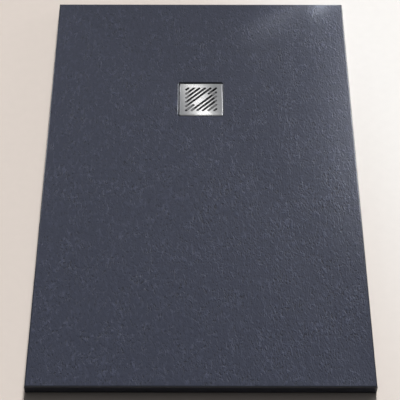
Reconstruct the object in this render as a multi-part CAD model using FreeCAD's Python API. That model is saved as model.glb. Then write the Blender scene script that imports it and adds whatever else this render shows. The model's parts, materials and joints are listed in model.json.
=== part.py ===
import FreeCAD
import Part
import math
import os

# Frame: X across the tray, Y along it towards the waste end, Z up, all in millimetres.
# The origin is the middle of the tray's underside, which lies on the floor at Z = 0.
X_AXIS = FreeCAD.Vector(1, 0, 0)
Y_AXIS = FreeCAD.Vector(0, 1, 0)
Z_AXIS = FreeCAD.Vector(0, 0, 1)

# How far a cutting shape runs past the face that it cuts through
cut_over = 1.0

# Tray
tray_width = 900.0
tray_length = 1400.0
tray_height = 30.0
edge_radius = 6.0
corner_radius = 2.0
rim_land = 1.0
surface_fall = 11.0
waste_from_back = 400.0
waste_hole_radius = 45.0
rebate_depth = 2.0
rebate_clearance = 2.0

# Recess that the cover lies in
recess_side = 140.0
recess_chamfer = 3.5
recess_depth = 10.0
recess_corner = 5.0

# Cover: pressed sheet with a skirt, standing on four rubber feet
cover_gap = 1.5
cover_shift = 1.0
cover_sink = 0.5
cover_sheet = 1.5
cover_bend = 3.0
cover_corner = 4.0
cover_skirt = 6.0
slot_width = 7.0
slot_spacing = 16.8
slot_margin = 20.0
middle_slot_reach = 22.0
shortest_slot = 3.0
foot_radius = 6.0
foot_inset = 2.0
foot_chamfer = 1.0
stud_radius = 3.0
stud_length = 6.0
grip_clearance = 0.05

# Pressed flange in the waste hole
flange_radius = 56.0
flange_sheet = 1.2
flange_bend = 1.0
flange_seal_thickness = 0.8
flange_seal_inset = 1.0
pot_gap = 1.8
pot_depth = 23.0
throat_radius = 33.0

# Screws that draw the flange and the collar together
screw_count = 4
screw_radius = 2.0
screw_head_radius = 3.8
screw_head_depth = 1.8
screw_length = 18.0
screw_slot = 1.0
screw_tip_room = 1.0
screw_hole_clearance = 0.3
insert_wall = 1.2
insert_length = 9.0
boss_wall = 2.8
boss_floor = 2.0

# Collar under the tray
collar_radius = 64.0
collar_disc = 4.0
collar_wall = 2.5
collar_clearance = 1.3
collar_ledge = 4.0
collar_skirt_length = 9.0
throat_wall = 4.0
cup_seat_depth = 22.0
cup_seat_thickness = 3.0
body_seal_thickness = 3.0
body_seal_inset = 1.0
body_seal_width = 12.0

# Bowl screwed into the collar's skirt
thread_clearance = 0.1
bowl_radius = 58.0
bowl_wall = 3.0
bowl_floor = 3.0
bowl_round = 6.0
bowl_seal_thickness = 1.0
room_under_cup = 9.0

# Cup that dips into the water
cup_clearance = 0.4
cup_flange_height = 5.0
dip_clearance = 0.5
dip_radius = 28.5
dip_wall = 2.0
water_seal = 30.0
ring_height = 2.0
ring_depth = 2.0
ring_clearance = 0.05

# Hair strainer
strainer_gap = 0.6
strainer_sheet = 2.0
basket_radius = 24.0
basket_wall = 1.5
basket_depth = 13.0
rim_hole_radius = 2.5
rim_hole_count = 16
floor_hole_radius = 3.0
floor_hole_circle = 13.5
floor_hole_count = 6
side_slot_count = 8
side_slot_width = 5.0
side_slot_height = 5.5
side_slot_rise = 3.0
knob_radius = 6.0
knob_stem_radius = 2.5
knob_stop_radius = 5.0
knob_stop_thickness = 1.5
knob_height = 19.0

# Outlet: the bowl's spigot, a swivel elbow and a pipe, each held by a nut and a washer.
# The spigot's length is counted from the collar's edge, which its nut has to clear.
pipe_radius = 20.0
pipe_wall = 2.0
spigot_clearance = 0.4
spigot_wall = 3.6
spigot_length = 21.0
insertion_depth = 18.0
insertion_play = 1.0
washer_length = 5.0
washer_clearance = 0.05
washer_chamfer = 0.9
nut_radius = 29.0
nut_overlap = 17.0
nut_clearance = 0.08
nut_lip = 3.0
nut_play = 0.1
nut_lip_clearance = 1.0
nut_rib_count = 12
nut_rib_radius = 3.0
outlet_drop_clearance = 1.0
elbow_run = 15.0
elbow_bend = 32.0
elbow_leg = 6.0
socket_step = 3.0
pipe_reach = 67.0
pipe_mark_place = 1.0
pipe_mark_width = 1.0
pipe_mark_depth = 0.5

# Levels, from the floor up and from the surface down
waste_y = tray_length / 2 - waste_from_back
surface_z = tray_height - surface_fall
recess_floor_z = surface_z - recess_depth
cover_top_z = surface_z - cover_sink
cover_under_z = cover_top_z - cover_sheet
flange_top_z = recess_floor_z + flange_seal_thickness + flange_sheet
flange_under_z = flange_top_z - flange_sheet
ledge_under_z = flange_top_z - pot_depth
ledge_top_z = ledge_under_z + flange_sheet
collar_top_z = rebate_depth - body_seal_thickness
collar_under_z = collar_top_z - collar_disc
collar_ledge_z = ledge_under_z - collar_ledge
cup_seat_z = ledge_under_z - cup_seat_depth
bowl_top_z = collar_under_z - bowl_seal_thickness

# Sizes that follow from the fits
pot_outer = waste_hole_radius - pot_gap
pot_inner = pot_outer - flange_sheet
collar_bore = pot_outer + collar_clearance
collar_neck = collar_bore + collar_wall
throat_outer = throat_radius + throat_wall
skirt_bore = bowl_radius + thread_clearance
rebate_radius = collar_radius + rebate_clearance
screw_circle = (throat_radius + pot_inner) / 2
insert_radius = screw_radius + insert_wall
boss_radius = insert_radius + boss_wall
cover_side = recess_side - 2 * recess_chamfer - 2 * cover_gap
slot_reach = cover_side / 2 - slot_margin
foot_place = cover_side / 2 - cover_sheet - foot_inset - foot_radius
spigot_bore = pipe_radius + spigot_clearance
spigot_radius = spigot_bore + spigot_wall
pipe_bore = pipe_radius - pipe_wall
outlet_z = collar_under_z - collar_skirt_length - outlet_drop_clearance - spigot_radius
dip_bottom_z = outlet_z - pipe_bore - water_seal
bowl_floor_z = dip_bottom_z - room_under_cup
spigot_end = collar_radius + spigot_length
tail_start = spigot_end - insertion_depth
bend_start = spigot_end + washer_length + nut_lip + elbow_run - elbow_leg
leg_y = bend_start + elbow_bend
socket_start = elbow_bend + elbow_leg
socket_end = socket_start + socket_step + insertion_depth + insertion_play
pipe_start = socket_end - insertion_depth
pipe_end = socket_end + washer_length + nut_lip + nut_play + pipe_reach


def turned(profile):
    """Solid of revolution about the waste's axis from (radius, height) points."""
    points = [FreeCAD.Vector(r, waste_y, z) for r, z in profile]
    face = Part.Face(Part.makePolygon(points + points[:1]))
    return face.revolve(FreeCAD.Vector(0, waste_y, 0), Z_AXIS, 360)


def ring(inner, outer, bottom, top):
    return turned([(inner, bottom), (outer, bottom), (outer, top), (inner, top)])


def post(radius, x, y, bottom, top):
    return Part.makeCylinder(radius, top - bottom, FreeCAD.Vector(x, y, bottom), Z_AXIS)


def pipe_along(axis, radius, start, length):
    """Round bar on the outlet's level, from start (x, y) along the axis."""
    base = FreeCAD.Vector(start[0], waste_y + start[1], outlet_z)
    return Part.makeCylinder(radius, length, base, axis)


def tube_along(axis, inner, outer, start, length):
    return pipe_along(axis, outer, start, length).cut(pipe_along(axis, inner, start, length))


def around(count, radius, first=0.0):
    """Evenly spaced (x, y) places on a circle about the waste's axis."""
    turns = [math.radians(first + 360.0 * i / count) for i in range(count)]
    return [(radius * math.cos(a), waste_y + radius * math.sin(a)) for a in turns]


def rounded_block(side_x, side_y, bottom, top, centre, corner):
    """Upright block with rounded vertical edges."""
    corner_point = FreeCAD.Vector(centre[0] - side_x / 2, centre[1] - side_y / 2, bottom)
    block = Part.makeBox(side_x, side_y, top - bottom, corner_point)
    upright = [e for e in block.Edges if abs(e.tangentAt(e.FirstParameter).z) > 0.9]
    return block.makeFillet(corner, upright)


def is_upright(edge):
    ends = [v.Point for v in edge.Vertexes]
    return (ends[1] - ends[0]).cross(Z_AXIS).Length < 0.01


def edges_at(shape, level):
    """Edges that lie wholly at one height."""
    box = [(e, e.BoundBox) for e in shape.Edges]
    return [e for e, b in box if abs(b.ZMin - level) < 0.01 and abs(b.ZMax - level) < 0.01]


def rectangle(half_x, half_y, centre_y, z):
    signs = [(-1, -1), (1, -1), (1, 1), (-1, 1)]
    return [FreeCAD.Vector(sx * half_x, centre_y + sy * half_y, z) for sx, sy in signs]


def frustum(lower, upper):
    """Closed solid between two level rectangles whose sides are parallel."""
    faces = [lower, upper]
    for i in range(4):
        j = (i + 1) % 4
        faces.append([lower[i], lower[j], upper[j], upper[i]])
    shell = Part.Shell([Part.Face(Part.makePolygon(f + f[:1])) for f in faces])
    solid = Part.Solid(shell)
    if solid.Volume < 0:
        solid.reverse()
    return solid


def basin():
    """Space above the four slopes, which run from the rim down to the recess."""
    rim_inset = edge_radius + rim_land
    low = rectangle(recess_side / 2, recess_side / 2, waste_y, surface_z)
    rim = rectangle(tray_width / 2 - rim_inset, tray_length / 2 - rim_inset, 0, tray_height)
    high = [l + (r - l) * (1 + cut_over / surface_fall) for l, r in zip(low, rim)]
    return frustum(low, high)


def recess():
    """Square pocket with rounded corners and a chamfer all round its mouth."""
    wall_side = recess_side - 2 * recess_chamfer
    centre = (0, waste_y)
    pocket = rounded_block(wall_side, wall_side, recess_floor_z, surface_z, centre, recess_corner)
    mouth_corner = recess_corner + recess_chamfer
    mouth_floor = surface_z - recess_chamfer
    mouth_top = surface_z + cut_over
    mouth = rounded_block(recess_side, recess_side, mouth_floor, mouth_top, centre, mouth_corner)
    return pocket.fuse(mouth.makeChamfer(recess_chamfer, edges_at(mouth, mouth_floor)))


def tray_body():
    block = Part.makeBox(
        tray_width,
        tray_length,
        tray_height,
        FreeCAD.Vector(-tray_width / 2, -tray_length / 2, 0),
    )
    block = block.makeFillet(edge_radius, edges_at(block, tray_height))
    upright = [e for e in block.Edges if len(e.Vertexes) == 2 and is_upright(e)]
    block = block.makeFillet(corner_radius, upright)
    tray = block.cut(basin())
    tray = tray.cut(recess())
    tray = tray.cut(post(waste_hole_radius, 0, waste_y, 0, recess_floor_z))
    return tray.cut(post(rebate_radius, 0, waste_y, 0, rebate_depth))


def slot(start, end):
    """Slot with round ends between two points of the cover, cut through its sheet."""
    run = FreeCAD.Vector(end[0] - start[0], end[1] - start[1], 0)
    base = FreeCAD.Vector(start[0], start[1], cover_under_z - cut_over)
    depth = cover_sheet + 2 * cut_over
    bar = Part.makeBox(run.Length, slot_width, depth, FreeCAD.Vector(0, -slot_width / 2, 0))
    bar.rotate(FreeCAD.Vector(0, 0, 0), Z_AXIS, math.degrees(math.atan2(run.y, run.x)))
    bar.translate(base)
    for place in (base, base + run):
        bar = bar.fuse(Part.makeCylinder(slot_width / 2, depth, place, Z_AXIS))
    return bar


def slot_lines():
    """Ends of the diagonal slots; the middle one is left closed at the cover's centre."""
    rows = int((2 * slot_reach - shortest_slot) / slot_spacing)
    lines = []
    for row in range(-rows, rows + 1):
        offset = row * slot_spacing
        low = -slot_reach + max(-offset, 0)
        high = slot_reach - max(offset, 0)
        if row == 0:
            lines.append(((low, low), (low + middle_slot_reach, low + middle_slot_reach)))
            lines.append(((high - middle_slot_reach, high - middle_slot_reach), (high, high)))
        else:
            lines.append(((low, low + offset), (high, high + offset)))
    return lines


def grate_plate():
    centre = (cover_shift, waste_y)
    bottom = cover_top_z - cover_skirt
    outer = rounded_block(cover_side, cover_side, bottom, cover_top_z, centre, cover_corner)
    outer = outer.makeFillet(cover_bend, edges_at(outer, cover_top_z))
    inner_side = cover_side - 2 * cover_sheet
    inner_corner = cover_corner - cover_sheet
    inner = rounded_block(inner_side, inner_side, bottom, cover_under_z, centre, inner_corner)
    inner = inner.makeFillet(cover_bend - cover_sheet, edges_at(inner, cover_under_z))
    plate = outer.cut(inner)
    for start, end in slot_lines():
        cut = slot(start, end)
        cut.translate(FreeCAD.Vector(cover_shift, waste_y, 0))
        plate = plate.cut(cut)
    return plate


def foot_places():
    signs = [(-1, -1), (1, -1), (1, 1), (-1, 1)]
    return [(cover_shift + sx * foot_place, waste_y + sy * foot_place) for sx, sy in signs]


def grate_studs():
    bottom = cover_under_z - stud_length
    return Part.makeCompound(
        [post(stud_radius, x, y, bottom, cover_under_z) for x, y in foot_places()]
    )


def grate_feet():
    hole_radius = stud_radius + grip_clearance
    hole_bottom = cover_under_z - stud_length - grip_clearance
    feet = []
    for x, y in foot_places():
        foot = post(foot_radius, x, y, recess_floor_z, cover_under_z)
        foot = foot.makeChamfer(foot_chamfer, edges_at(foot, recess_floor_z))
        feet.append(foot.cut(post(hole_radius, x, y, hole_bottom, cover_under_z)))
    return Part.makeCompound(feet)


def waste_flange():
    """Flat ring on the seal, pot wall through the tray and ledge for the strainer."""
    flange = turned(
        [
            (pot_outer, flange_under_z),
            (flange_radius, flange_under_z),
            (flange_radius, flange_top_z),
            (pot_inner, flange_top_z),
            (pot_inner, ledge_top_z),
            (throat_radius, ledge_top_z),
            (throat_radius, ledge_under_z),
            (pot_outer, ledge_under_z),
        ]
    )
    flange = flange.makeFillet(flange_bend, edges_at(flange, flange_top_z))
    for x, y in around(screw_count, screw_circle, 45):
        flange = flange.cut(screw_sink(x, y))
    return flange


def screw_sink(x, y):
    """Countersink and hole for one screw, a little larger than the screw."""
    place = FreeCAD.Vector(x, y, ledge_top_z - screw_head_depth)
    head_radius = screw_head_radius + screw_hole_clearance
    neck_radius = screw_radius + screw_hole_clearance
    cone = Part.makeCone(neck_radius, head_radius, screw_head_depth, place, Z_AXIS)
    hole_bottom = ledge_top_z - screw_length - screw_tip_room
    return cone.fuse(post(neck_radius, x, y, hole_bottom, ledge_top_z))


def flange_screws():
    screws = []
    for x, y in around(screw_count, screw_circle, 45):
        place = FreeCAD.Vector(x, y, ledge_top_z - screw_head_depth)
        head = Part.makeCone(screw_radius, screw_head_radius, screw_head_depth, place, Z_AXIS)
        shank = post(screw_radius, x, y, ledge_top_z - screw_length, ledge_top_z)
        corner = FreeCAD.Vector(x - screw_head_radius, y - screw_slot / 2, ledge_top_z - screw_slot)
        groove = Part.makeBox(2 * screw_head_radius, screw_slot, screw_slot, corner)
        screws.append(head.fuse(shank).cut(groove))
    return Part.makeCompound(screws)


def insert_levels():
    bottom = ledge_top_z - screw_length - screw_tip_room
    return bottom, bottom + insert_length


def screw_inserts():
    bottom, top = insert_levels()
    bore = screw_radius + grip_clearance
    inserts = []
    for x, y in around(screw_count, screw_circle, 45):
        sleeve = post(insert_radius, x, y, bottom, top)
        inserts.append(sleeve.cut(post(bore, x, y, bottom, top)))
    return Part.makeCompound(inserts)


def flange_seal():
    outer = flange_radius - flange_seal_inset
    inner = waste_hole_radius + flange_seal_inset
    return ring(inner, outer, recess_floor_z, flange_under_z)


def body_seal():
    outer = collar_radius - body_seal_inset
    return ring(outer - body_seal_width, outer, collar_top_z, rebate_depth)


def trap_collar():
    """Disc under the tray with a skirt for the bowl and a throat for the cup."""
    seat_bore = dip_radius + dip_clearance
    seat_under = cup_seat_z - cup_seat_thickness
    skirt_bottom = collar_under_z - collar_skirt_length
    collar = turned(
        [
            (collar_bore, collar_top_z),
            (collar_radius, collar_top_z),
            (collar_radius, skirt_bottom),
            (skirt_bore, skirt_bottom),
            (skirt_bore, collar_under_z),
            (collar_neck, collar_under_z),
            (collar_neck, collar_ledge_z),
            (throat_outer, collar_ledge_z),
            (throat_outer, seat_under),
            (seat_bore, seat_under),
            (seat_bore, cup_seat_z),
            (throat_radius, cup_seat_z),
            (throat_radius, ledge_under_z),
            (collar_bore, ledge_under_z),
        ]
    )
    insert_bottom, insert_top = insert_levels()
    throat = post(throat_radius, 0, waste_y, seat_under, collar_top_z)
    for x, y in around(screw_count, screw_circle, 45):
        boss = post(boss_radius, x, y, insert_bottom - boss_floor, collar_ledge_z)
        collar = collar.fuse(boss.cut(throat))
    collar = collar.removeSplitter()
    for x, y in around(screw_count, screw_circle, 45):
        collar = collar.cut(screw_sink(x, y))
        collar = collar.cut(post(insert_radius, x, y, insert_bottom, insert_top))
    return collar


def bowl_seal():
    return ring(bowl_radius - bowl_wall, bowl_radius, bowl_top_z, collar_under_z)


def trap_bowl():
    """Round bowl with an outlet spigot on its side towards the back."""
    bottom = bowl_floor_z - bowl_floor
    outer = post(bowl_radius, 0, waste_y, bottom, bowl_top_z)
    outer = outer.makeFillet(bowl_round, edges_at(outer, bottom))
    spigot = pipe_along(Y_AXIS, spigot_radius, (0, 0), spigot_end)
    inner_radius = bowl_radius - bowl_wall
    inner = post(inner_radius, 0, waste_y, bowl_floor_z, bowl_top_z)
    inner = inner.makeFillet(bowl_round - bowl_wall, edges_at(inner, bowl_floor_z))
    body = outer.fuse(spigot)
    body = body.cut(inner)
    body = body.cut(pipe_along(Y_AXIS, pipe_bore, (0, 0), spigot_end))
    socket_depth = insertion_depth + insertion_play
    socket_place = (0, spigot_end - socket_depth)
    return body.cut(pipe_along(Y_AXIS, spigot_bore, socket_place, socket_depth))


def siphon_cup():
    """Flanged tube that dips into the bowl's water, with a groove for its ring."""
    cup_radius = throat_radius - cup_clearance
    flange_top = cup_seat_z + cup_flange_height
    bore = dip_radius - dip_wall
    groove_bottom = cup_seat_z + (cup_flange_height - ring_height) / 2
    groove_radius = throat_radius - ring_clearance - ring_depth
    return turned(
        [
            (bore, dip_bottom_z),
            (dip_radius, dip_bottom_z),
            (dip_radius, cup_seat_z),
            (cup_radius, cup_seat_z),
            (cup_radius, groove_bottom),
            (groove_radius, groove_bottom),
            (groove_radius, groove_bottom + ring_height),
            (cup_radius, groove_bottom + ring_height),
            (cup_radius, flange_top),
            (bore, flange_top),
        ]
    )


def cup_seal():
    outer = throat_radius - ring_clearance
    bottom = cup_seat_z + (cup_flange_height - ring_height) / 2
    return ring(outer - ring_depth, outer, bottom, bottom + ring_height)


def hair_strainer():
    """Perforated rim on the flange's ledge with a slotted basket in its middle."""
    rim_top = ledge_top_z + strainer_sheet
    basket_under = ledge_top_z - basket_depth
    basket_floor = basket_under + basket_wall
    basket_bore = basket_radius - basket_wall
    strainer = turned(
        [
            (0, basket_under),
            (basket_radius, basket_under),
            (basket_radius, ledge_top_z),
            (pot_inner - strainer_gap, ledge_top_z),
            (pot_inner - strainer_gap, rim_top),
            (basket_bore, rim_top),
            (basket_bore, basket_floor),
            (0, basket_floor),
        ]
    )
    for x, y in around(rim_hole_count, (basket_radius + throat_radius) / 2):
        strainer = strainer.cut(post(rim_hole_radius, x, y, ledge_top_z, rim_top))
    for x, y in around(floor_hole_count, floor_hole_circle):
        strainer = strainer.cut(post(floor_hole_radius, x, y, basket_under, basket_floor))
    window_y = waste_y - side_slot_width / 2
    corner = FreeCAD.Vector(basket_bore - cut_over, window_y, basket_floor + side_slot_rise)
    for i in range(side_slot_count):
        window_depth = basket_wall + 2 * cut_over
        window = Part.makeBox(window_depth, side_slot_width, side_slot_height, corner)
        window.rotate(FreeCAD.Vector(0, waste_y, 0), Z_AXIS, 360.0 * i / side_slot_count)
        strainer = strainer.cut(window)
    stem_hole = knob_stem_radius + grip_clearance
    return strainer.cut(post(stem_hole, 0, waste_y, basket_under, basket_floor))


def strainer_knob():
    """Round knob on a stem that goes through the basket's floor up to a stop."""
    stem_bottom = ledge_top_z - basket_depth
    basket_floor = stem_bottom + basket_wall
    top = stem_bottom + knob_height
    stem = post(knob_stem_radius, 0, waste_y, stem_bottom, top - knob_radius)
    stop_top = basket_floor + knob_stop_thickness
    stop = post(knob_stop_radius, 0, waste_y, basket_floor, stop_top)
    ball = Part.makeSphere(knob_radius, FreeCAD.Vector(0, waste_y, top - knob_radius))
    return stem.fuse(stop).fuse(ball)


def union_nut(axis, start):
    """Ribbed nut over a threaded end, with a lip behind the washer."""
    bore = spigot_radius + nut_clearance
    body_length = nut_overlap + washer_length + nut_play
    length = body_length + nut_lip
    nut = pipe_along(axis, nut_radius, start, length)
    across = Y_AXIS if axis == X_AXIS else X_AXIS
    for i in range(nut_rib_count):
        a = 2 * math.pi * i / nut_rib_count
        shift = across * (nut_radius * math.cos(a)) + Z_AXIS * (nut_radius * math.sin(a))
        rib = pipe_along(axis, nut_rib_radius, start, length)
        rib.translate(shift)
        nut = nut.cut(rib)
    nut = nut.cut(pipe_along(axis, bore, start, body_length))
    return nut.cut(pipe_along(axis, pipe_radius + nut_lip_clearance, start, length))


def tapered_washer(axis, start):
    """Rubber ring with a cone on the side of the threaded end."""
    outer = spigot_radius - washer_chamfer
    ring_body = pipe_along(axis, outer, start, washer_length)
    bore = pipe_along(axis, pipe_radius + washer_clearance, start, washer_length)
    far = [e for e in ring_body.Edges if e.Closed]
    far.sort(key=lambda e: (e.CenterOfMass - FreeCAD.Vector(0, waste_y, outlet_z)).dot(axis))
    return ring_body.makeChamfer(washer_chamfer, far[-1:]).cut(bore)


def outlet_nut():
    return union_nut(Y_AXIS, (0, spigot_end - nut_overlap))


def outlet_washer():
    return tapered_washer(Y_AXIS, (0, spigot_end))


def outlet_elbow():
    """Tail into the spigot, a quarter bend towards +X and a socket for the pipe."""
    tail = tube_along(Y_AXIS, pipe_bore, pipe_radius, (0, tail_start), bend_start - tail_start)
    centre = FreeCAD.Vector(0, waste_y + bend_start, outlet_z)
    rims = [Part.Wire(Part.makeCircle(r, centre, Y_AXIS)) for r in (pipe_radius, pipe_bore)]
    pivot = FreeCAD.Vector(elbow_bend, waste_y + bend_start, outlet_z)
    bends = [Part.Face(rim).revolve(pivot, Z_AXIS, -90) for rim in rims]
    bend = bends[0].cut(bends[1])
    leg = tube_along(X_AXIS, pipe_bore, pipe_radius, (elbow_bend, leg_y), elbow_leg)
    step = tube_along(X_AXIS, pipe_bore, spigot_radius, (socket_start, leg_y), socket_step)
    mouth_start = socket_start + socket_step
    mouth_length = socket_end - mouth_start
    mouth = tube_along(X_AXIS, spigot_bore, spigot_radius, (mouth_start, leg_y), mouth_length)
    return tail.fuse([bend, leg, step, mouth]).removeSplitter()


def pipe_nut():
    return union_nut(X_AXIS, (socket_end - nut_overlap, leg_y))


def pipe_washer():
    return tapered_washer(X_AXIS, (socket_end, leg_y))


def outlet_pipe():
    """Pipe with a groove that marks how far it goes into the socket and its nut."""
    pipe = tube_along(X_AXIS, pipe_bore, pipe_radius, (pipe_start, leg_y), pipe_end - pipe_start)
    mark_start = pipe_end - pipe_reach + pipe_mark_place
    mark_floor = pipe_radius - pipe_mark_depth
    mark_outer = pipe_radius + cut_over
    place = (mark_start, leg_y)
    return pipe.cut(tube_along(X_AXIS, mark_floor, mark_outer, place, pipe_mark_width))


PIECES = [
    tray_body,
    grate_plate,
    grate_studs,
    grate_feet,
    waste_flange,
    flange_seal,
    flange_screws,
    screw_inserts,
    body_seal,
    trap_collar,
    bowl_seal,
    trap_bowl,
    siphon_cup,
    cup_seal,
    hair_strainer,
    strainer_knob,
    outlet_washer,
    outlet_nut,
    outlet_elbow,
    pipe_washer,
    pipe_nut,
    outlet_pipe,
]

os.makedirs("parts", exist_ok=True)
for piece in PIECES:
    shape = piece()
    shape.exportStep(f"parts/{piece.__name__}.step")
    box = shape.BoundBox
    print(
        piece.__name__,
        "solids", len(shape.Solids),
        "valid", shape.isValid(),
        "volume", round(shape.Volume),
        "x", round(box.XMin, 1), round(box.XMax, 1),
        "y", round(box.YMin, 1), round(box.YMax, 1),
        "z", round(box.ZMin, 1), round(box.ZMax, 1),
    )
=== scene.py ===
import bmesh
import bpy
import json
import math
from mathutils import Matrix, Quaternion, Vector, noise


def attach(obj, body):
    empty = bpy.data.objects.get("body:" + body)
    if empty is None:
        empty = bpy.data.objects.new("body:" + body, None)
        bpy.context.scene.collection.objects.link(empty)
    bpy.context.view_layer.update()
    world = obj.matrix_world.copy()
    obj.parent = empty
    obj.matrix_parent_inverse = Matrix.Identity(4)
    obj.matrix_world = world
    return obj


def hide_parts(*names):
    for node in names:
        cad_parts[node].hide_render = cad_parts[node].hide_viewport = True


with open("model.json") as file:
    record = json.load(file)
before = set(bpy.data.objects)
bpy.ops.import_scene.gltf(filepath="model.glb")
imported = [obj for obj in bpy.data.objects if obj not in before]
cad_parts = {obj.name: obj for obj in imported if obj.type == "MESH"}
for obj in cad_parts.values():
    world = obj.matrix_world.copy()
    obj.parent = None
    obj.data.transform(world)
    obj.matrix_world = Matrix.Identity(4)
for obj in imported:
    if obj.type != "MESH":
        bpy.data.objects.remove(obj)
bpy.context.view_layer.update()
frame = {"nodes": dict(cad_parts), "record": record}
scene = bpy.context.scene
scene.view_settings.view_transform = "Standard"
print("frame loaded")


def setInputs(node, values):
    for name, value in values.items():
        node.inputs[name].default_value = value
    return node


def addNode(tree, kind, inputs=None, **settings):
    node = tree.nodes.new(kind)
    for name, value in settings.items():
        setattr(node, name, value)
    return setInputs(node, inputs or {})


def link(tree, fromNode, output, toNode, socket):
    tree.links.new(fromNode.outputs[output], toNode.inputs[socket])


def addMath(tree, operation, *sources):
    # each source is a (node, output) pair
    node = addNode(tree, "ShaderNodeMath", operation=operation)
    for socket, source in enumerate(sources):
        link(tree, *source, node, socket)
    return node


def addRange(tree, source, span, result=(0.0, 1.0), smooth=False):
    # carries a (node, output) pair's value from the span to the result
    kind = "SMOOTHSTEP" if smooth else "LINEAR"
    node = addNode(tree, "ShaderNodeMapRange", interpolation_type=kind)
    setInputs(node, {"From Min": span[0], "From Max": span[1]})
    setInputs(node, {"To Min": result[0], "To Max": result[1]})
    link(tree, *source, node, "Value")
    return node


def addNoise(tree, source, settings):
    node = addNode(tree, "ShaderNodeTexNoise", settings)
    link(tree, *source, node, "Vector")
    return node


def mixColors(tree, factor, first, second):
    # a color is (r, g, b) or a (node, output) pair, and the mix is output 2
    mix = addNode(tree, "ShaderNodeMix", data_type="RGBA")
    link(tree, *factor, mix, "Factor")
    for socket, color in ((6, first), (7, second)):
        if len(color) == 3:
            mix.inputs[socket].default_value = (*color, 1)
        else:
            link(tree, *color, mix, socket)
    return mix


def scaleColor(tree, color, tone):
    paint = addNode(tree, "ShaderNodeVectorMath", operation="SCALE")
    link(tree, *color, paint, 0)
    link(tree, *tone, paint, "Scale")
    return paint


def addRelief(tree, shader, height, depth):
    relief = addNode(tree, "ShaderNodeBump", {"Strength": 1.0, "Distance": depth})
    link(tree, *height, relief, "Height")
    link(tree, relief, "Normal", shader, "Normal")


def newGroup(name, inputs, outputs):
    tree = bpy.data.node_groups.new(name, "ShaderNodeTree")
    for label, kind, value in inputs:
        socket = tree.interface.new_socket(name=label, in_out="INPUT", socket_type=kind)
        if value is not None:
            socket.default_value = value
    for label, kind in outputs:
        tree.interface.new_socket(name=label, in_out="OUTPUT", socket_type=kind)
    start = tree.nodes.new("NodeGroupInput")
    end = tree.nodes.new("NodeGroupOutput")
    return tree, start, end


def newMaterial(name, settings):
    material = bpy.data.materials.new(name)
    material.use_nodes = True
    shader = material.node_tree.nodes["Principled BSDF"]
    setInputs(shader, settings)
    return material, material.node_tree, shader


def mapped(tree, location=(0, 0, 0), turn=0):
    # object coordinates, moved and turned about the upright axis
    place = addNode(tree, "ShaderNodeTexCoord")
    mapping = addNode(tree, "ShaderNodeMapping")
    setInputs(mapping, {"Location": location, "Rotation": (0, 0, math.radians(turn))})
    link(tree, place, "Object", mapping, "Vector")
    return mapping


def groupNode(tree, group, inputs=None):
    node = addNode(tree, "ShaderNodeGroup", node_tree=group)
    return setInputs(node, inputs or {})


vectorIn = ("Vector", "NodeSocketVector", None)
floatSocket = "NodeSocketFloat"
colorSocket = "NodeSocketColor"

mouldedSettings = {
    "grainDetail": 3.0,
    "cloud": {"Scale": 38.0, "Detail": 4.0},
    "roughSwing": 0.16,
}


def makeMouldedGroup():
    s = mouldedSettings
    inputs = [
        vectorIn,
        ("Color", colorSocket, (0.5, 0.5, 0.5, 1)),
        ("Grain Scale", floatSocket, 900.0),
        ("Mottle", floatSocket, 0.12),
        ("Roughness", floatSocket, 0.45),
    ]
    outputs = [("Color", colorSocket), ("Roughness", floatSocket), ("Height", floatSocket)]
    tree, start, end = newGroup("mouldedFinish", inputs, outputs)
    grain = addNoise(tree, (start, "Vector"), {"Detail": s["grainDetail"]})
    link(tree, start, "Grain Scale", grain, "Scale")
    link(tree, grain, "Fac", end, "Height")
    # a soft cloud moves the color and the roughness about their own values
    cloud = addNoise(tree, (start, "Vector"), s["cloud"])
    shift = addNode(tree, "ShaderNodeMath", {1: 0.5}, operation="SUBTRACT")
    link(tree, cloud, "Fac", shift, 0)
    tone = addNode(tree, "ShaderNodeMath", {2: 1.0}, operation="MULTIPLY_ADD")
    link(tree, shift, 0, tone, 0)
    link(tree, start, "Mottle", tone, 1)
    paint = scaleColor(tree, (start, "Color"), (tone, 0))
    link(tree, paint, 0, end, "Color")
    rough = addNode(tree, "ShaderNodeMath", {1: s["roughSwing"]}, operation="MULTIPLY_ADD")
    link(tree, shift, 0, rough, 0)
    link(tree, start, "Roughness", rough, 2)
    link(tree, rough, 0, end, "Roughness")
    return tree


brushedSettings = {
    "stretch": (0.02, 1.0, 0.02),
    "lineDetail": 2.0,
    "smudge": {"Scale": 45.0, "Detail": 3.0},
    "noiseSpan": (0.3, 0.7),
    "tone": (0.93, 1.05),
    "roughShift": (-0.03, 0.05),
}


def makeBrushedGroup():
    s = brushedSettings
    inputs = [
        vectorIn,
        ("Color", colorSocket, (0.6, 0.6, 0.6, 1)),
        ("Line Scale", floatSocket, 1400.0),
        ("Roughness", floatSocket, 0.3),
    ]
    outputs = [("Color", colorSocket), ("Roughness", floatSocket), ("Height", floatSocket)]
    tree, start, end = newGroup("brushedFinish", inputs, outputs)
    # the lines run along X
    stretch = addNode(tree, "ShaderNodeMapping", {"Scale": s["stretch"]})
    link(tree, start, "Vector", stretch, "Vector")
    lines = addNoise(tree, (stretch, "Vector"), {"Detail": s["lineDetail"]})
    link(tree, start, "Line Scale", lines, "Scale")
    link(tree, lines, "Fac", end, "Height")
    tone = addRange(tree, (lines, "Fac"), s["noiseSpan"], s["tone"])
    paint = scaleColor(tree, (start, "Color"), (tone, "Result"))
    link(tree, paint, 0, end, "Color")
    smudge = addNoise(tree, (start, "Vector"), s["smudge"])
    shift = addRange(tree, (smudge, "Fac"), s["noiseSpan"], s["roughShift"])
    rough = addMath(tree, "ADD", (shift, "Result"), (start, "Roughness"))
    link(tree, rough, 0, end, "Roughness")
    return tree


mouldedFinish = makeMouldedGroup()
brushedFinish = makeBrushedGroup()


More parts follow.
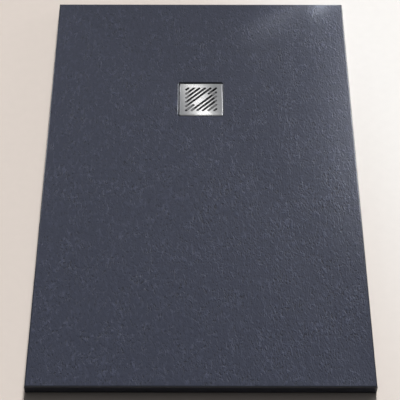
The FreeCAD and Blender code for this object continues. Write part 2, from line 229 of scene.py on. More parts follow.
def finishInto(tree, shader, effect, vector):
    # a shared effect takes its vector and feeds the shader
    link(tree, *vector, effect, "Vector")
    link(tree, effect, "Color", shader, "Base Color")
    link(tree, effect, "Roughness", shader, "Roughness")


def makeMoulded(name, color, roughness, grainScale, depth, mottle):
    material, tree, shader = newMaterial(name, {"Specular IOR Level": 0.45})
    effect = groupNode(tree, mouldedFinish, {"Color": (*color, 1), "Roughness": roughness})
    setInputs(effect, {"Grain Scale": grainScale, "Mottle": mottle})
    finishInto(tree, shader, effect, (mapped(tree), "Vector"))
    addRelief(tree, shader, (effect, "Height"), depth)
    return material


def makeMetal(name, color, roughness, lineScale, depth, metallic):
    material, tree, shader = newMaterial(name, {"Metallic": metallic})
    effect = groupNode(tree, brushedFinish, {"Color": (*color, 1), "Roughness": roughness})
    setInputs(effect, {"Line Scale": lineScale})
    finishInto(tree, shader, effect, (mapped(tree), "Vector"))
    addRelief(tree, shader, (effect, "Height"), depth)
    return material


mouldedFinishes = {
    "trapPlastic": {
        "color": (0.018, 0.018, 0.020),
        "roughness": 0.42,
        "grainScale": 700.0,
        "depth": 0.00008,
        "mottle": 0.5,
    },
    "cupPlastic": {
        "color": (0.30, 0.31, 0.32),
        "roughness": 0.40,
        "grainScale": 900.0,
        "depth": 0.00005,
        "mottle": 0.2,
    },
    "strainerPlastic": {
        "color": (0.260, 0.268, 0.276),
        "roughness": 0.46,
        "grainScale": 900.0,
        "depth": 0.00005,
        "mottle": 0.2,
    },
    "pipePlastic": {
        "color": (0.70, 0.70, 0.68),
        "roughness": 0.36,
        "grainScale": 900.0,
        "depth": 0.00004,
        "mottle": 0.06,
    },
    "sealRubber": {
        "color": (0.022, 0.022, 0.024),
        "roughness": 0.70,
        "grainScale": 1500.0,
        "depth": 0.00006,
        "mottle": 0.5,
    },
    "resinEdge": {
        "color": (0.026, 0.030, 0.044),
        "roughness": 0.13,
        "grainScale": 260.0,
        "depth": 0.00006,
        "mottle": 0.25,
    },
    "chamferResin": {
        "color": (0.026, 0.030, 0.044),
        "roughness": 0.22,
        "grainScale": 260.0,
        "depth": 0.00006,
        "mottle": 0.25,
    },
    # painted shade: the recess floor is the same resin painted darker
    "shadedRecessResin": {
        "color": (0.008, 0.009, 0.013),
        "roughness": 0.58,
        "grainScale": 260.0,
        "depth": 0.00006,
        "mottle": 0.25,
    },
    "rawResin": {
        "color": (0.115, 0.117, 0.122),
        "roughness": 0.78,
        "grainScale": 420.0,
        "depth": 0.0006,
        "mottle": 0.35,
    },
}

metalFinishes = {
    "insertBrass": {
        "color": (0.78, 0.56, 0.24),
        "roughness": 0.30,
        "lineScale": 1500.0,
        "depth": 0.00003,
        "metallic": 1.0,
    },
    "screwSteel": {
        "color": (0.62, 0.62, 0.63),
        "roughness": 0.30,
        "lineScale": 1500.0,
        "depth": 0.00002,
        "metallic": 1.0,
    },
    # painted shade: the flange's steel is painted dark, standing in for the shade under the cover
    "shadedFlangeSteel": {
        "color": (0.25, 0.25, 0.26),
        "roughness": 0.34,
        "lineScale": 1500.0,
        "depth": 0.00002,
        "metallic": 0.35,
    },
}

coverSettings = {
    "middle": (-0.007, 0.300, 0),
    "highlightTurn": -13,
    "highlightSpan": (0.004, 0.066),
    # painted highlight: the middle band's colour, then the sides' colour
    "paintedHighlight": (0.80, 0.80, 0.80),
    "grey": (0.44, 0.445, 0.455),
    "roughness": (0.20, 0.44),
    "brushScale": 1300.0,
    "brushTurn": 45,
    "brushDepth": 0.00001,
    "slotField": 0.060,
    "wallSpan": (0.15, 0.45),
    # painted shade for the slot walls
    "wallShadeColor": (0.02, 0.02, 0.02),
}


def makeCoverSteel(name):
    s = coverSettings
    material, tree, shader = newMaterial(name, {"Metallic": 1.0})
    # the sheet's middle has lower roughness and is painted brighter than its sides, in a slanted
    # band: a painted highlight
    centre = mapped(tree, location=[-v for v in s["middle"]])
    turn = (0, 0, math.radians(s["highlightTurn"]))
    highlightBand = addNode(tree, "ShaderNodeMapping", {"Rotation": turn})
    link(tree, centre, "Vector", highlightBand, "Vector")
    split = addNode(tree, "ShaderNodeSeparateXYZ")
    link(tree, highlightBand, "Vector", split, "Vector")
    side = addMath(tree, "ABSOLUTE", (split, "X"))
    fade = addRange(tree, (side, 0), s["highlightSpan"], smooth=True)
    color = mixColors(tree, (fade, "Result"), s["paintedHighlight"], s["grey"])
    rough = addRange(tree, (fade, "Result"), (0.0, 1.0), s["roughness"])
    effect = groupNode(tree, brushedFinish, {"Line Scale": s["brushScale"]})
    link(tree, mapped(tree, turn=s["brushTurn"]), "Vector", effect, "Vector")
    link(tree, color, 2, effect, "Color")
    link(tree, rough, "Result", effect, "Roughness")
    link(tree, effect, "Roughness", shader, "Roughness")
    # the cut walls of the slots are painted nearly black: painted shade inside the slots
    facing = addNode(tree, "ShaderNodeNewGeometry")
    upright = addNode(tree, "ShaderNodeSeparateXYZ")
    link(tree, facing, "True Normal", upright, "Vector")
    steep = addMath(tree, "ABSOLUTE", (upright, "Z"))
    wall = addRange(tree, (steep, 0), s["wallSpan"], (1.0, 0.0))
    spread = addNode(tree, "ShaderNodeVectorMath", operation="ABSOLUTE")
    link(tree, centre, "Vector", spread, 0)
    field = addNode(tree, "ShaderNodeSeparateXYZ")
    link(tree, spread, 0, field, "Vector")
    reach = addMath(tree, "MAXIMUM", (field, "X"), (field, "Y"))
    inField = addNode(tree, "ShaderNodeMath", {1: s["slotField"]}, operation="LESS_THAN")
    link(tree, reach, 0, inField, 0)
    wallShade = addMath(tree, "MULTIPLY", (wall, "Result"), (inField, 0))
    shadedWalls = mixColors(tree, (wallShade, 0), (effect, "Color"), s["wallShadeColor"])
    link(tree, shadedWalls, 2, shader, "Base Color")
    addRelief(tree, shader, (effect, "Height"), s["brushDepth"])
    return material


slateSettings = {
    "color": (0.0308, 0.0352, 0.0572),
    "roughness": (0.45, 0.49),
    "depth": 0.00047,
    "stretch": (1.0, 0.45, 1.0),
    "patches": {"Scale": 23.0, "Detail": 2.0},
    "patchSpan": (0.40, 0.62),
    "patchLevel": (0.50, 1.05),
    "flakes": {"Scale": 116.0, "Detail": 2.5, "Roughness": 0.6, "Distortion": 0.4},
    "flakeSpan": (0.53, 0.63),
    "fine": {"Scale": 240.0, "Detail": 1.0, "Roughness": 0.5},
    "gritSpan": (0.52, 0.68),
    "gritHeight": 0.45,
    "pitSpan": (0.44, 0.30),
    "pitHeight": -1.2,
    "heightSpan": (-1.2, 1.4),
    # painted shade in the pits and painted highlight on the flakes
    "tone": (0.50, 1.50),
}


def makeSlate(name):
    s = slateSettings
    material, tree, shader = newMaterial(name, {"Specular IOR Level": 0.5})
    place = mapped(tree)
    # the relief is stronger in some patches than in others
    patches = addNoise(tree, (place, "Vector"), s["patches"])
    patch = addRange(tree, (patches, "Fac"), s["patchSpan"], s["patchLevel"], smooth=True)
    # flakes lie along the tray, twice as long as they are wide
    stretch = addNode(tree, "ShaderNodeMapping", {"Scale": s["stretch"]})
    link(tree, place, "Vector", stretch, "Vector")
    flakes = addNoise(tree, (stretch, "Vector"), s["flakes"])
    fine = addNoise(tree, (stretch, "Vector"), s["fine"])
    # they stand up as small plates, with grit on them and a few pits between them
    plates = addRange(tree, (flakes, "Fac"), s["flakeSpan"], smooth=True)
    grit = addRange(tree, (fine, "Fac"), s["gritSpan"], (0.0, s["gritHeight"]), smooth=True)
    pits = addRange(tree, (fine, "Fac"), s["pitSpan"], (0.0, s["pitHeight"]), smooth=True)
    raised = addMath(tree, "ADD", (plates, "Result"), (grit, "Result"))
    whole = addMath(tree, "ADD", (raised, 0), (pits, "Result"))
    height = addMath(tree, "MULTIPLY", (whole, 0), (patch, "Result"))
    addRelief(tree, shader, (height, 0), s["depth"])
    # raised flakes are painted lighter and pits darker: a painted highlight on the flakes and
    # painted shade in the pits
    tone = addRange(tree, (height, 0), s["heightSpan"], s["tone"])
    color = addNode(tree, "ShaderNodeCombineXYZ", dict(zip("XYZ", s["color"])))
    paint = scaleColor(tree, (color, "Vector"), (tone, "Result"))
    link(tree, paint, 0, shader, "Base Color")
    rough = addRange(tree, (patch, "Result"), s["patchLevel"], s["roughness"])
    link(tree, rough, "Result", shader, "Roughness")
    return material


finishes = {name: makeMoulded(name, **values) for name, values in mouldedFinishes.items()}
for name, values in metalFinishes.items():
    finishes[name] = makeMetal(name, **values)
finishes["coverSteel"] = makeCoverSteel("coverSteel")
finishes["slateResin"] = makeSlate("slateResin")
print("finishes", len(finishes))


bodyOf = {}
for bodyName, nodeNames in frame["record"]["behaviour"]["bodies"].items():
    for nodeName in nodeNames:
        bodyOf[nodeName] = bodyName

copySettings = {
    "mergeWithin": 0.00001,
    "sharpFrom": 33,
}

bowlSettings = {
    "axis": (0, 0.300, 0),
    "radius": 0.058,
    "ribs": 18,
    "firstRib": 128,
    "ribTurn": 284,
    "ribDeep": 0.0030,
    "ribWide": 0.0024,
    "ribTall": 0.066,
    "ribMiddle": -0.053,
    "ribRound": 0.0008,
}

collarSettings = {
    "axis": (0, 0.300, 0),
    "radius": 0.064,
    "ribs": 40,
    "firstRib": 0,
    "ribTurn": 351,
    "ribDeep": 0.0024,
    "ribWide": 0.0030,
    "ribTall": 0.0078,
    "ribMiddle": -0.0092,
    "ribRound": 0.0007,
}


def addRibs(bm, settings):
    # one rounded rib is carried round the upright axis
    s = settings
    rib = bmesh.new()
    bmesh.ops.create_cube(rib, size=1)
    bmesh.ops.scale(rib, vec=(s["ribDeep"], s["ribWide"], s["ribTall"]), verts=rib.verts)
    bmesh.ops.bevel(
        rib, geom=rib.edges[:], offset=s["ribRound"], segments=2,
        affect="EDGES", profile=0.5, material=-1, clamp_overlap=True)
    bmesh.ops.translate(rib, vec=(s["radius"], 0, s["ribMiddle"]), verts=rib.verts)
    start = Matrix.Rotation(math.radians(s["firstRib"]), 3, "Z")
    bmesh.ops.rotate(rib, verts=rib.verts, matrix=start)
    bmesh.ops.translate(rib, vec=s["axis"], verts=rib.verts)
    whole = rib.verts[:] + rib.edges[:] + rib.faces[:]
    bmesh.ops.spin(
        rib, geom=whole, cent=s["axis"], axis=(0, 0, 1),
        angle=math.radians(s["ribTurn"]), steps=s["ribs"] - 1, use_duplicate=True)
    bmesh.ops.recalc_face_normals(rib, faces=rib.faces)
    mesh = bpy.data.meshes.new("ribs")
    rib.to_mesh(mesh)
    rib.free()
    bm.from_mesh(mesh)
    bpy.data.meshes.remove(mesh)


def smoothObject(bm, name, sharpFrom):
    # a new object from the bmesh, smooth but for its sharp edges
    mesh = bpy.data.meshes.new(name)
    bm.to_mesh(mesh)
    bm.free()
    mesh.polygons.foreach_set("use_smooth", [True] * len(mesh.polygons))
    mesh.set_sharp_from_angle(angle=math.radians(sharpFrom))
    piece = bpy.data.objects.new(name, mesh)
    scene.collection.objects.link(piece)
    return piece


def dressNode(nodeName, pieceName, finish, ribs=None):
    # a smooth copy of the CAD node, on the same body, with the finish it is given
    bm = bmesh.new()
    bm.from_mesh(frame["nodes"][nodeName].data)
    bmesh.ops.remove_doubles(bm, verts=bm.verts, dist=copySettings["mergeWithin"])
    if ribs:
        addRibs(bm, ribs)
    piece = smoothObject(bm, pieceName, copySettings["sharpFrom"])
    mesh = piece.data
    mesh.materials.clear()
    mesh.materials.append(finish)
    mesh.polygons.foreach_set("material_index", [0] * len(mesh.polygons))
    weighted = piece.modifiers.new("flatStaysFlat", "WEIGHTED_NORMAL")
    weighted.keep_sharp = True
    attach(piece, bodyOf[nodeName])
    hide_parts(nodeName)


nodePieces = {
    "grate_plate": ("drainCover", "coverSteel"),
    "grate_studs": ("coverStuds", "screwSteel"),
    "grate_feet": ("coverFeet", "sealRubber"),
    "waste_flange": ("wasteFlange", "shadedFlangeSteel"),
    "flange_seal": ("flangeSeal", "sealRubber"),
    "flange_screws": ("flangeScrews", "screwSteel"),
    "screw_inserts": ("screwInserts", "insertBrass"),
    "body_seal": ("bodySeal", "sealRubber"),
    "trap_collar": ("trapCollar", "trapPlastic"),
    "bowl_seal": ("bowlSeal", "sealRubber"),
    "trap_bowl": ("trapBowl", "trapPlastic"),
    "siphon_cup": ("siphonCup", "cupPlastic"),
    "cup_seal": ("cupSeal", "sealRubber"),
    "hair_strainer": ("hairStrainer", "strainerPlastic"),
    "strainer_knob": ("strainerKnob", "strainerPlastic"),
    "outlet_washer": ("outletWasher", "sealRubber"),
    "outlet_nut": ("outletNut", "pipePlastic"),
    "outlet_elbow": ("outletElbow", "pipePlastic"),
    "pipe_washer": ("pipeWasher", "sealRubber"),
    "pipe_nut": ("pipeNut", "pipePlastic"),
    "outlet_pipe": ("outletPipe", "pipePlastic"),
}

nodeRibs = {"trap_bowl": bowlSettings, "trap_collar": collarSettings}

for nodeName, (pieceName, finishName) in nodePieces.items():
    dressNode(nodeName, pieceName, finishes[finishName], nodeRibs.get(nodeName))
print("cover and waste", len(nodePieces))


traySettings = {
    "halfWidth": 0.450,
    "halfLength": 0.700,
    "cellX": 0.0029,
    "cellY": 0.0051,
    "edgeRadius": 0.0040,
    "edgeSteps": 6,
    "edgeLine": 0.018,
    "underEdge": 0.0012,
    "sharpFrom": 38,
    "rim": 0.030,
    "surfaceAtRecess": 0.019,
    "recessHalf": 0.070,
    "recessWall": 0.0665,
    "recessCorner": 0.0085,
    "chamferLine": ((0.0003, 0.0001), (0.0028, 0.0018), (0.0033, 0.0024), (0.0035, 0.0031)),
    "recessFloor": 0.009,
    "floorBand": 0.0007,
    "recessCove": 0.0012,
    "floorRing": (0.058, 0.012),
    "recessZone": 0.2,
    "wasteY": 0.300,
    "holeRadius": 0.045,
    "holeEase": 0.001,
    "rebateRadius": 0.066,
    "rebateDepth": 0.002,
}

# a field of the relief is (scale along X, scale along Y, level in the noise)
reliefSettings = {
    "layers": (23, 11, 1.3),
    "layerCount": 2.4,
    "layerNoise": (0.9, 2.1, 3),
    "layerStep": (0.25, 0.75),
    "layerHeight": 0.00008,
    "wide": (9, 7, 8.1),
    "ragged": (31, 22, 4.4),
    "raggedShare": 0.4,
    "roughSpan": (-0.5, 0.4),
    "smoothLevel": 0.55,
    "fine": (130, 52, 5.5),
    "chips": (88, 40, 9.2),
    "chipShare": 0.6,
    "fineHeight": 0.00026,
    "fadeAtRecess": 0.012,
    "fadeAtRim": (0.004, 0.03),
    "rimLevel": 0.35,
}


def flatReach():
    # how far the top goes before its edge is rounded
    s = traySettings
    return s["halfWidth"] - s["edgeRadius"], s["halfLength"] - s["edgeRadius"]


def slopeHeight(x, y):
    # four slopes rise from the recess to the rim
    s = traySettings
    half = s["recessHalf"]
    flatX, flatY = flatReach()
    across = (abs(x) - half) / (flatX - half)
    back = (y - s["wasteY"] - half) / (flatY - s["wasteY"] - half)
    front = (s["wasteY"] - half - y) / (flatY + s["wasteY"] - half)
    climb = min(max(across, back, front, 0.0), 1.0)
    return s["surfaceAtRecess"] + (s["rim"] - s["surfaceAtRecess"]) * climb


def smoothStep(low, high, value):
    t = min(max((value - low) / (high - low), 0.0), 1.0)
    return t * t * (3 - 2 * t)


def fieldPoint(x, y, field):
    scaleX, scaleY, level = field
    return Vector((x * scaleX, y * scaleY, level))


def slateHeight(x, y):
    # thin layers with ragged steps, and finer chips that are weaker where the slate is smooth
    s = reliefSettings
    layers = s["layerCount"] * noise.fractal(fieldPoint(x, y, s["layers"]), *s["layerNoise"])
    step = math.floor(layers)
    ledge = step + smoothStep(*s["layerStep"], layers - step)
    wide = noise.noise(fieldPoint(x, y, s["wide"]))
    ragged = noise.noise(fieldPoint(x, y, s["ragged"]))
    rough = smoothStep(*s["roughSpan"], wide + s["raggedShare"] * ragged)
    fine = noise.noise(fieldPoint(x, y, s["fine"]))
    chips = noise.noise(fieldPoint(x, y, s["chips"]))
    relief = s["layerHeight"] * ledge + s["fineHeight"] * (fine + s["chipShare"] * chips)
    return relief * (s["smoothLevel"] + (1 - s["smoothLevel"]) * rough)


def reliefFade(x, y):
    # the relief dies out at the recess and gets weaker at the rim
    s = traySettings
    r = reliefSettings
    fromRecess = max(abs(x), abs(y - s["wasteY"])) - s["recessHalf"]
    fromRim = min(s["halfWidth"] - abs(x), s["halfLength"] - abs(y))
    atRim = r["rimLevel"] + (1 - r["rimLevel"]) * smoothStep(*r["fadeAtRim"], fromRim)
    return smoothStep(0.0, r["fadeAtRecess"], fromRecess) * atRim


def makeTrayTop(bm):
    s = traySettings
    flatX, flatY = flatReach()
    cellsX = round(2 * flatX / s["cellX"])
    cellsY = round(2 * flatY / s["cellY"])
    bmesh.ops.create_grid(bm, x_segments=cellsX, y_segments=cellsY, size=1.0)
    bmesh.ops.scale(bm, vec=(flatX, flatY, 1), verts=bm.verts)
    stepX = 2 * flatX / cellsX
    stepY = 2 * flatY / cellsY
    half = s["recessHalf"]
    # the lines nearest to the recess are moved onto its edges
    for vert in bm.verts:
        x = vert.co.x
        y = vert.co.y - s["wasteY"]
        if abs(abs(x) - half) < stepX / 2:
            vert.co.x = math.copysign(half, x)
        if abs(abs(y) - half) < stepY / 2:
            vert.co.y = s["wasteY"] + math.copysign(half, y)
    inside = []
    for face in bm.faces:
        middle = face.calc_center_median()
        if abs(middle.x) < half and abs(middle.y - s["wasteY"]) < half:
            inside.append(face)
    bmesh.ops.delete(bm, geom=inside, context="FACES")


def raiseTrayTop(bm):
    for vert in bm.verts:
        x, y = vert.co.xy
        vert.co.z = slopeHeight(x, y) + slateHeight(x, y) * reliefFade(x, y)


def boundaryEdges(bm, atRecess):
    s = traySettings
    found = []
    for edge in bm.edges:
        if not edge.is_boundary:
            continue
        middle = (edge.verts[0].co + edge.verts[1].co) / 2
        away = max(abs(middle.x), abs(middle.y - s["wasteY"]))
        if (away < s["recessZone"]) == atRecess:
            found.append(edge)
    return found


def extrudeRing(bm, edges):
    made = bmesh.ops.extrude_edge_only(bm, edges=edges)["geom"]
    verts = [g for g in made if isinstance(g, bmesh.types.BMVert)]
    ring = set(verts)
    newEdges = [g for g in made if isinstance(g, bmesh.types.BMEdge)]
    newEdges = [e for e in newEdges if all(v in ring for v in e.verts)]
    return verts, newEdges


def roundedSquare(start, half, corner):
    # a point of the recess's square edge, carried to a square of another size with round corners
    scale = half / traySettings["recessHalf"]
    x = start.x * scale
    y = start.y * scale
    centre = half - corner
    if abs(x) > centre and abs(y) > centre:
        middle = Vector((math.copysign(centre, x), math.copysign(centre, y)))
        return middle + (Vector((x, y)) - middle).normalized() * corner
    return Vector((x, y))


def placeKey(vert):
    return tuple(round(value, 7) for value in vert.co)


def carryRing(bm, edges, starts):
    # extrudes a ring and hands each new point the start of the point it came from
    sources = {}
    for edge in edges:
        for vert in edge.verts:
            sources[placeKey(vert)] = starts[vert]
    verts, newEdges = extrudeRing(bm, edges)
    return newEdges, {vert: sources[placeKey(vert)] for vert in verts}


def makeTrayRecess(bm, edges):
    s = traySettings
    wasteY = s["wasteY"]
    middle = Vector((0, wasteY, 0))
    starts = {}
    for edge in edges:
        for vert in edge.verts:
            starts[vert] = (vert.co - middle).to_2d()
    for vert, start in starts.items():
        place = roundedSquare(start, s["recessHalf"], s["recessCorner"])
        vert.co.x = place.x
        vert.co.y = place.y + wasteY
    # square rings go down the chamfer and the wall to the floor: half, corner, height
    squares = []
    for inward, drop in s["chamferLine"]:
        height = s["surfaceAtRecess"] - drop
        squares.append((s["recessHalf"] - inward, s["recessCorner"] - inward, height))
    wallCorner = s["recessCorner"] - (s["recessHalf"] - s["recessWall"])
    squares += [
        (s["recessWall"], wallCorner, s["recessFloor"] + s["recessCove"]),
        (s["recessWall"] - s["recessCove"], wallCorner, s["recessFloor"]),
        (*s["floorRing"], s["recessFloor"]),
    ]
    for half, corner, height in squares:
        edges, starts = carryRing(bm, edges, starts)
        for vert, start in starts.items():
            place = roundedSquare(start, half, corner)
            vert.co = Vector((place.x, place.y + wasteY, height))
    # round rings go through the waste hole to the rebate under it: radius, height
    circles = [
        (s["holeRadius"] + s["holeEase"], s["recessFloor"]),
        (s["holeRadius"], s["recessFloor"] - s["holeEase"]),
        (s["holeRadius"], s["rebateDepth"]),
        (s["rebateRadius"], s["rebateDepth"]),
        (s["rebateRadius"], 0.0),
    ]
    for radius, height in circles:
        edges, starts = carryRing(bm, edges, starts)
        for vert, start in starts.items():
            place = start.normalized() * radius
            vert.co = Vector((place.x, place.y + wasteY, height))
    return edges


def makeTrayEdge(bm, edges):
    # the top's edge is rounded, and the side goes down to the underside: out, drop
    s = traySettings
    radius = s["edgeRadius"]
    flatX, flatY = flatReach()
    profile = []
    for i in range(1, s["edgeSteps"] + 1):
        turn = math.pi / 2 * i / s["edgeSteps"]
        profile.append((radius * math.sin(turn), radius * (1 - math.cos(turn))))
    profile.append((radius, s["edgeLine"]))
    profile.append((radius, s["rim"] - s["underEdge"]))
    profile.append((radius - s["underEdge"], s["rim"]))
    nearly = 1e-5
    for out, drop in profile:
        verts, edges = extrudeRing(bm, edges)
        for vert in verts:
            x, y = vert.co.xy
            if abs(x) > flatX - nearly:
                x = math.copysign(flatX + out, x)
            if abs(y) > flatY - nearly:
                y = math.copysign(flatY + out, y)
            vert.co = Vector((x, y, s["rim"] - drop))
    return edges


def finishNameOf(face):
    # the face's place on the slab decides its finish
    s = traySettings
    x, y, z = face.center
    flatX, flatY = flatReach()
    inRecess = max(abs(x), abs(y - s["wasteY"])) < s["recessHalf"]
    onFloor = abs(z - s["recessFloor"]) < s["floorBand"]
    # the recess floor takes the resin painted darker, a painted shade
    if inRecess and onFloor:
        return "shadedRecessResin"
    if z < s["recessFloor"] / 2:
        under = abs(face.normal.z) > 0.5 or inRecess
        return "rawResin" if under else "resinEdge"
    if inRecess:
        return "chamferResin"
    if abs(x) > flatX or abs(y) > flatY:
        return "resinEdge"
    return "slateResin"


def finishTray(tray):
    names = ("slateResin", "resinEdge", "rawResin", "shadedRecessResin", "chamferResin")
    for name in names:
        tray.data.materials.append(finishes[name])
    for face in tray.data.polygons:
        face.material_index = names.index(finishNameOf(face))


def makeTray():
    bm = bmesh.new()
    makeTrayTop(bm)
    outer = boundaryEdges(bm, False)
    inner = boundaryEdges(bm, True)
    raiseTrayTop(bm)
    outerEnd = makeTrayEdge(bm, outer)
    innerEnd = makeTrayRecess(bm, inner)
    bmesh.ops.triangle_fill(bm, edges=outerEnd + innerEnd, use_beauty=True)
    bmesh.ops.recalc_face_normals(bm, faces=bm.faces)
    tray = smoothObject(bm, "slateTray", traySettings["sharpFrom"])
    finishTray(tray)
    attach(tray, "tray")
    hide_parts("tray_body")
    return tray


slateTray = makeTray()
print("slate tray", len(slateTray.data.polygons))


floorSettings = {
    # painted light: the floor's shaded colour and its lit colour
    "shadedTint": (0.705, 0.635, 0.585),
    "litTint": (0.900, 0.882, 0.862),
    "slope": (1.0, 0.30, 0),
    "slopeSpan": (0.10, 0.72),
    "poolSpan": (1.3, 3.2),
    "poolLevel": (1.0, 0.25),
    "mottle": 0.05,
    "roughness": 0.85,
    "level": -0.0004,
    "radius": 9.0,
    "sides": 96,
    "pit": (0.4485, 0.6985),
}


def makeFloorPaint():
    s = floorSettings
    material, tree, shader = newMaterial("floorPaint", {"Specular IOR Level": 0.0})
    place = mapped(tree)
    # the floor is painted paler on the right, a painted pool of light, and far from the tray it
    # is nearly one colour
    along = addNode(tree, "ShaderNodeVectorMath", {1: s["slope"]}, operation="DOT_PRODUCT")
    link(tree, place, "Vector", along, 0)
    fade = addRange(tree, (along, "Value"), s["slopeSpan"], smooth=True)
    away = addNode(tree, "ShaderNodeVectorMath", operation="LENGTH")
    link(tree, place, "Vector", away, 0)
    pool = addRange(tree, (away, "Value"), s["poolSpan"], s["poolLevel"], smooth=True)
    near = addMath(tree, "MULTIPLY", (fade, "Result"), (pool, "Result"))
    paintedLight = mixColors(tree, (near, 0), s["shadedTint"], s["litTint"])
    plaster = groupNode(tree, mouldedFinish, {"Mottle": s["mottle"], "Roughness": s["roughness"]})
    link(tree, paintedLight, 2, plaster, "Color")
    finishInto(tree, shader, plaster, (place, "Vector"))
    # the floor is open from below, so that the trap can be seen from there
    clear = addNode(tree, "ShaderNodeBsdfTransparent")
    side = addNode(tree, "ShaderNodeNewGeometry")
    mix = addNode(tree, "ShaderNodeMixShader")
    link(tree, side, "Backfacing", mix, 0)
    link(tree, shader, "BSDF", mix, 1)
    link(tree, clear, "BSDF", mix, 2)
    link(tree, mix, "Shader", tree.nodes["Material Output"], "Surface")
    return material


def makeFloor():
    # a wide disc with an opening under the slab, where the trap goes down
    s = floorSettings
    bm = bmesh.new()
    bmesh.ops.create_circle(bm, segments=s["sides"], radius=s["radius"])
    pit = bmesh.ops.create_circle(bm, segments=4, radius=math.sqrt(2))["verts"]
    bmesh.ops.rotate(bm, verts=pit, matrix=Matrix.Rotation(math.pi / 4, 3, "Z"))
    bmesh.ops.scale(bm, verts=pit, vec=(*s["pit"], 1))
    bmesh.ops.triangle_fill(bm, edges=bm.edges, use_beauty=True)
    bmesh.ops.translate(bm, verts=bm.verts, vec=(0, 0, s["level"]))
    bmesh.ops.recalc_face_normals(bm, faces=bm.faces)
    if bm.faces[:][0].normal.z < 0:
        bmesh.ops.reverse_faces(bm, faces=bm.faces)
    mesh = bpy.data.meshes.new("paleFloor")
    bm.to_mesh(mesh)
    bm.free()
    mesh.materials.append(makeFloorPaint())
    floor = bpy.data.objects.new("paleFloor", mesh)
    scene.collection.objects.link(floor)


# gloss says whether a lamp shows in reflections, fill whether it lights plain surfaces
lampSettings = {
    # low light from behind, which the shadow in front comes from
    "backLight": {
        "kind": "SUN",
        "place": (0.35, 3.80, 2.55),
        "aim": (0, 0, 0),
        "spread": 12,
        "power": 5.10,
        "color": (1, 0.99, 0.98),
        "gloss": False,
        "fill": True,
    },
    "sideWindow": {
        "kind": "AREA",
        "place": (2.9, 2.5, 0.62),
        "aim": (0, 0.2, 0),
        "size": (1.6, 0.8),
        "power": 30,
        "color": (1, 1, 1),
        "gloss": False,
        "fill": True,
    },
    # the sheen over the slate's right and left
    "tallWindow": {
        "kind": "AREA",
        "place": (2.4, 2.3, 1.5),
        "aim": (0.3, 0.25, 0),
        "size": (1.4, 1.8),
        "power": 48,
        "color": (0.94, 0.96, 1),
        "gloss": True,
        "fill": False,
    },
    "leftWindow": {
        "kind": "AREA",
        "place": (-2.3, 2.1, 1.25),
        "aim": (-0.1, 0.1, 0),
        "size": (0.8, 2.2),
        "power": 26,
        "color": (0.94, 0.96, 1),
        "gloss": True,
        "fill": False,
    },
    "softBox": {
        "kind": "AREA",
        "place": (0.4, 3.2, 3.0),
        "aim": (0, 0.1, 0),
        "size": (3.4, 2.4),
        "power": 8,
        "color": (1, 1, 1),
        "gloss": True,
        "fill": False,
    },
    # for views from behind and from below
    "frontBox": {
        "kind": "AREA",
        "place": (-0.4, -3.2, 3.0),
        "aim": (0, -0.1, 0),
        "size": (3.4, 2.4),
        "power": 20,
        "color": (1, 1, 1),
        "gloss": True,
        "fill": False,
    },
    "underLight": {
        "kind": "AREA",
        "place": (-1.3, -1.5, -1.9),
        "aim": (0, 0.15, -0.03),
        "size": (1.5, 1.5),
        "power": 70,
        "color": (1, 1, 1),
        "gloss": True,
        "fill": True,
    },
    # the slanted glare in the far right corner
    "cornerGlow": {
        "kind": "AREA",
        "place": (0.402, 0.737, 0.065),
        "aim": (0.402, 0.715, 0.0),
        "turn": 32,
        "size": (0.11, 0.012),
        "power": 0.085,
        "color": (0.86, 0.92, 1),
        "gloss": True,
        "fill": False,
    },
    "cornerVeil": {
        "kind": "AREA",
        "place": (0.275, 0.712, 0.090),
        "aim": (0.275, 0.682, 0.0),
        "turn": 34,
        "size": (0.28, 0.012),
        "power": 0.080,
        "color": (0.90, 0.94, 1),
        "gloss": True,
        "fill": False,
    },
    # the light line along the right edge
    "rimWindow": {
        "kind": "AREA",
        "place": (0.76, 0.64, 0.22),
        "aim": (0.70, 0.64, 0.0),
        "size": (0.90, 0.06),
        "power": 1.9,
        "color": (1, 1, 1),
        "gloss": True,
        "fill": False,
    },
    "edgeWindow": {
        "kind": "AREA",
        "place": (0.58, 0.50, 0.27),
        "aim": (0.55, 0.50, 0.0),
        "size": (0.90, 0.06),
        "power": 2.9,
        "color": (0.96, 0.98, 1),
        "gloss": True,
        "fill": False,
    },
    # the bright middle of the cover
    "coverGlow": {
        "kind": "AREA",
        "place": (0, 1.85, 1.98),
        "aim": (0, 0.3, 0),
        "size": (0.35, 0.35),
        "power": 0.7,
        "color": (1, 1, 1),
        "gloss": True,
        "fill": False,
    },
}


def addLamp(name, values):
    data = bpy.data.lights.new(name, values["kind"])
    if values["kind"] == "SUN":
        data.angle = math.radians(values["spread"])
    else:
        data.shape = "RECTANGLE"
        data.size, data.size_y = values["size"]
    data.energy = values["power"]
    data.color = values["color"]
    lamp = bpy.data.objects.new(name, data)
    lamp.location = values["place"]
    toward = Vector(values["aim"]) - Vector(values["place"])
    turn = Quaternion((0, 0, 1), math.radians(values.get("turn", 0)))
    lamp.rotation_mode = "QUATERNION"
    lamp.rotation_quaternion = toward.to_track_quat("-Z", "Y") @ turn
    lamp.visible_camera = False
    lamp.visible_glossy = values["gloss"]
    lamp.visible_diffuse = values["fill"]
    scene.collection.objects.link(lamp)


worldSettings = {
    "color": (1.0, 1.0, 1.0),
    "toward": (0.10, 0.55, 0.83),
    "skySpan": (0.50, 0.97),
    "skyLevel": (0.026, 0.244),
    "groundSpan": (-0.02, -0.30),
    "groundLevel": 0.45,
    "skylineSpan": (0.02, 0.34),
    "skylineLevel": 0.55,
    "backdrop": (0.720, 0.650, 0.595),
}


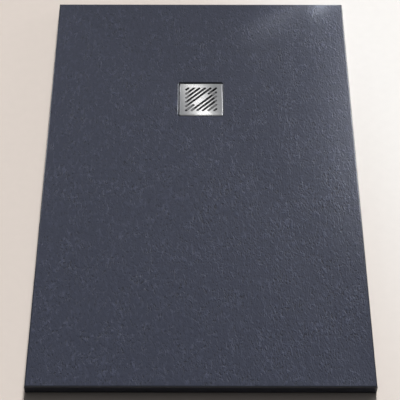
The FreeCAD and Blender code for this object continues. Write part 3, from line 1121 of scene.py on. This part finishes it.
def makeWorld():
    s = worldSettings
    world = bpy.data.worlds.new("studio")
    world.use_nodes = True
    tree = world.node_tree
    background = tree.nodes["Background"]
    background.inputs["Color"].default_value = (*s["color"], 1)
    way = addNode(tree, "ShaderNodeTexCoord")
    sides = addNode(tree, "ShaderNodeSeparateXYZ")
    link(tree, way, "Generated", sides, "Vector")
    # the sky is brightest overhead and behind, and the ground side lights views from below
    facing = addNode(tree, "ShaderNodeVectorMath", {1: s["toward"]}, operation="DOT_PRODUCT")
    link(tree, way, "Generated", facing, 0)
    sky = addRange(tree, (facing, "Value"), s["skySpan"], s["skyLevel"], smooth=True)
    ground = addRange(tree, (sides, "Z"), s["groundSpan"], (0.0, s["groundLevel"]), smooth=True)
    total = addMath(tree, "MAXIMUM", (sky, "Result"), (ground, "Result"))
    # metal and gloss see a pale skyline, the camera sees a plain pale backdrop
    rays = addNode(tree, "ShaderNodeLightPath")
    skyline = addRange(
        tree, (sides, "Z"), s["skylineSpan"], (s["skylineLevel"], 0.0), smooth=True)
    seen = addMath(tree, "MULTIPLY", (skyline, "Result"), (rays, "Is Glossy Ray"))
    strength = addMath(tree, "MAXIMUM", (total, 0), (seen, 0))
    link(tree, strength, 0, background, "Strength")
    backdrop = addNode(tree, "ShaderNodeBackground", {"Strength": 1.0})
    backdrop.inputs["Color"].default_value = (*s["backdrop"], 1)
    mix = addNode(tree, "ShaderNodeMixShader")
    link(tree, rays, "Is Camera Ray", mix, 0)
    link(tree, background, "Background", mix, 1)
    link(tree, backdrop, "Background", mix, 2)
    link(tree, mix, "Shader", tree.nodes["World Output"], "Surface")
    scene.world = world


cameraSettings = {
    "lens": 120.26,
    "sensor": 36,
    "clip": (0.05, 60),
    "place": (-0.0064, -2.4282, 2.9921),
    "pitch": 51.775,
    "yaw": 0.102,
    "roll": 0.156,
}


def makeCamera():
    s = cameraSettings
    data = bpy.data.cameras.new("photoCamera")
    data.lens = s["lens"]
    data.sensor_width = s["sensor"]
    data.clip_start, data.clip_end = s["clip"]
    camera = bpy.data.objects.new("photoCamera", data)
    turn = Matrix.Rotation(math.radians(-s["yaw"]), 4, "Z")
    tilt = Matrix.Rotation(math.radians(90 - s["pitch"]), 4, "X")
    level = Matrix.Rotation(math.radians(s["roll"]), 4, "Z")
    camera.matrix_world = Matrix.Translation(s["place"]) @ turn @ tilt @ level
    scene.collection.objects.link(camera)
    scene.camera = camera


makeFloor()
for lampName, lampValues in lampSettings.items():
    addLamp(lampName, lampValues)
makeWorld()
makeCamera()
print("floor, light and camera")
